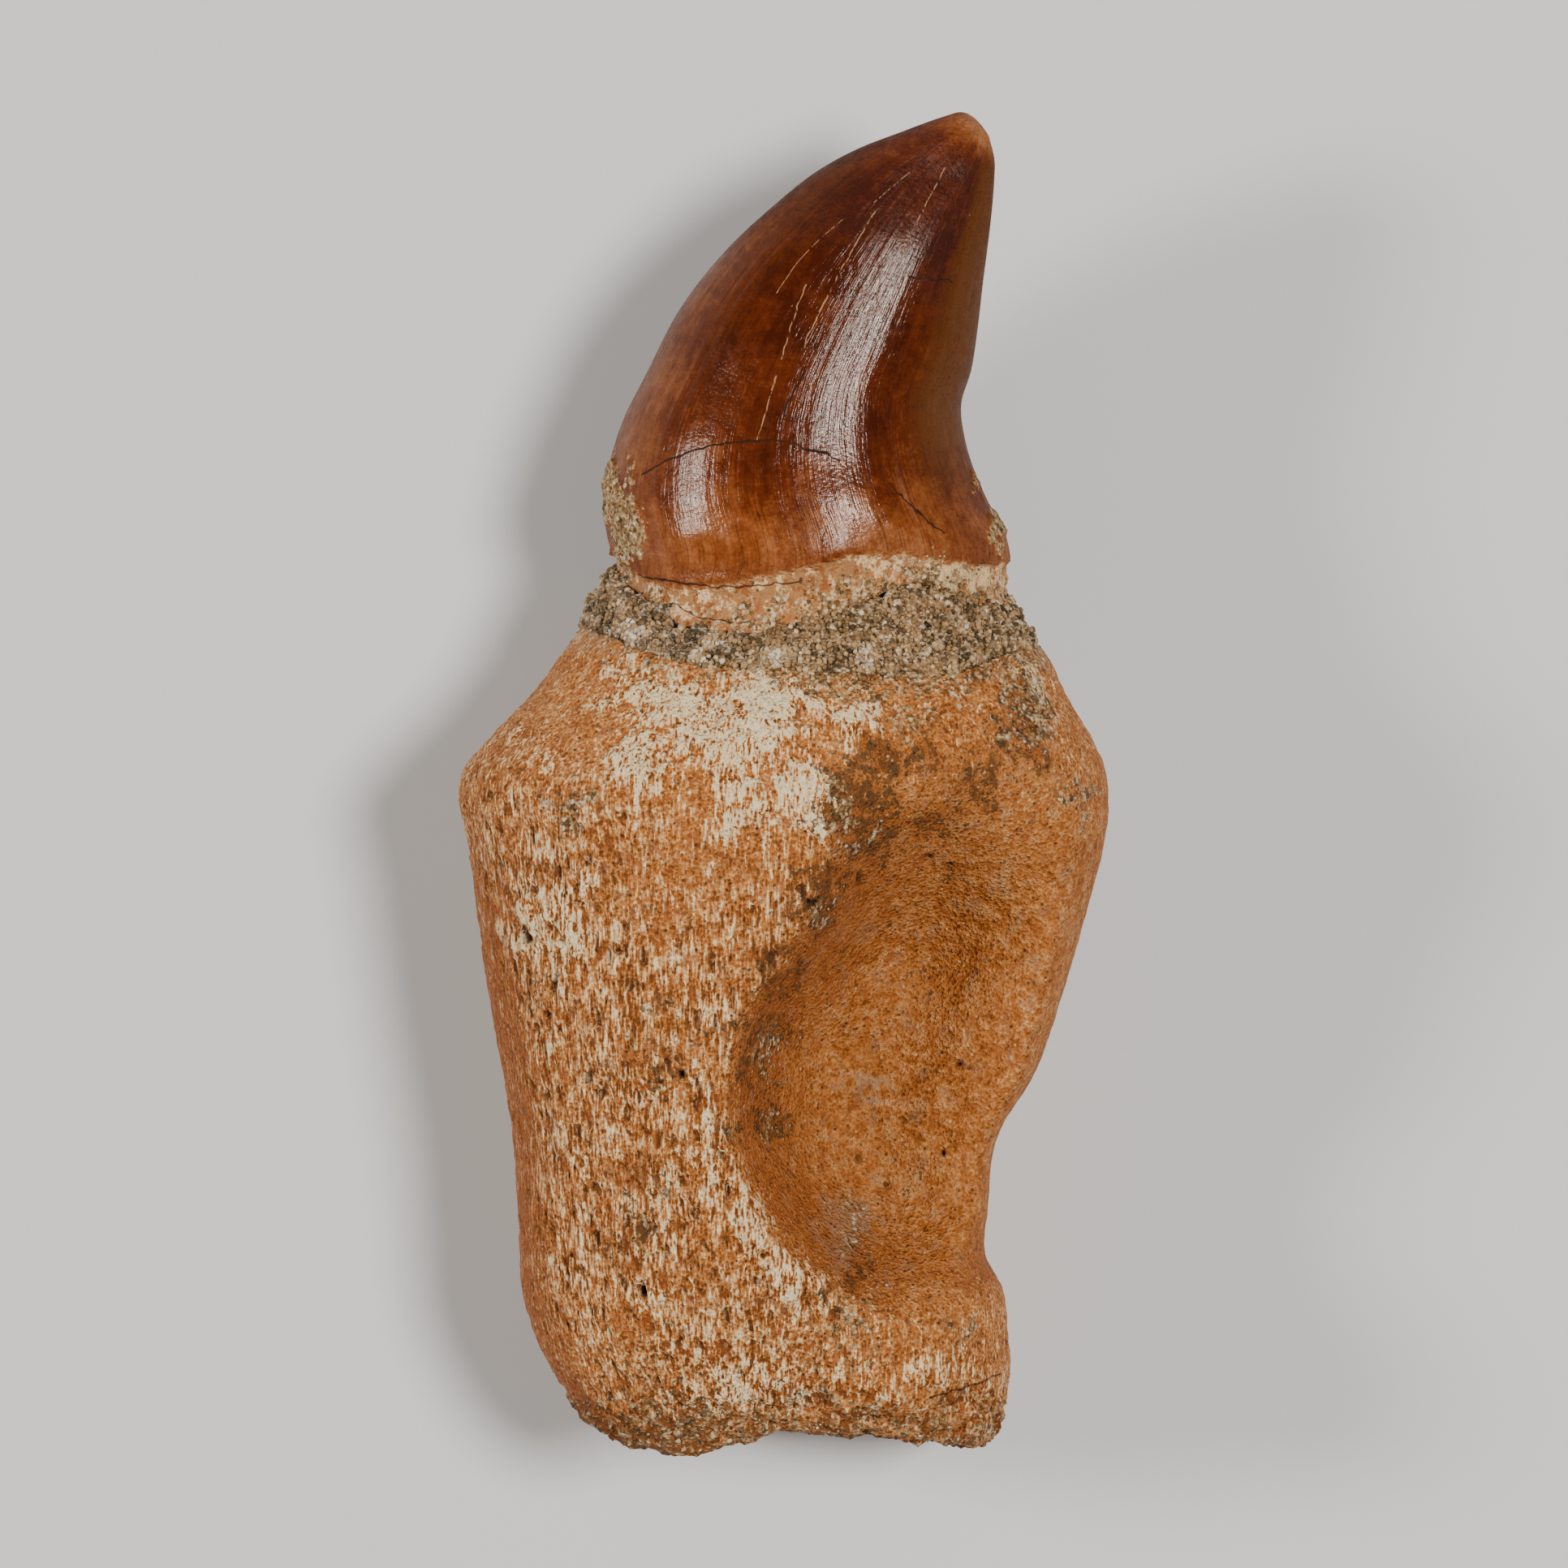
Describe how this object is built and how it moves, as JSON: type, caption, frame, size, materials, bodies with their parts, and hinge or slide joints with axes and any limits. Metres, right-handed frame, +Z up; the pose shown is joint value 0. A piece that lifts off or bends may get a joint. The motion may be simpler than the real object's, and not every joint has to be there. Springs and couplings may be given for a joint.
{
  "type": "fossil marine reptile tooth",
  "caption": "Fossil halisaurus tooth lying on its back: curved glossy enamel crown, sandy matrix round the neck, and a flaring bone root with a resorption hollow",
  "frame": {"origin": "under the middle of the tooth's bounding box, on the surface that it lies on", "axes": "+Y runs along the tooth from the broken root to the tip, +X is to the right with the tip away from the viewer, +Z is up, out of the side with the resorption hollow"},
  "size_m": [0.0244, 0.0498, 0.0177],
  "materials": {
    "fossil_tooth": "satin",
    "sandy_matrix": "matte"
  },
  "bodies": {
    "root": {"tooth": "fossil_tooth", "matrix_collar": "sandy_matrix"}
  },
  "joints": []
}
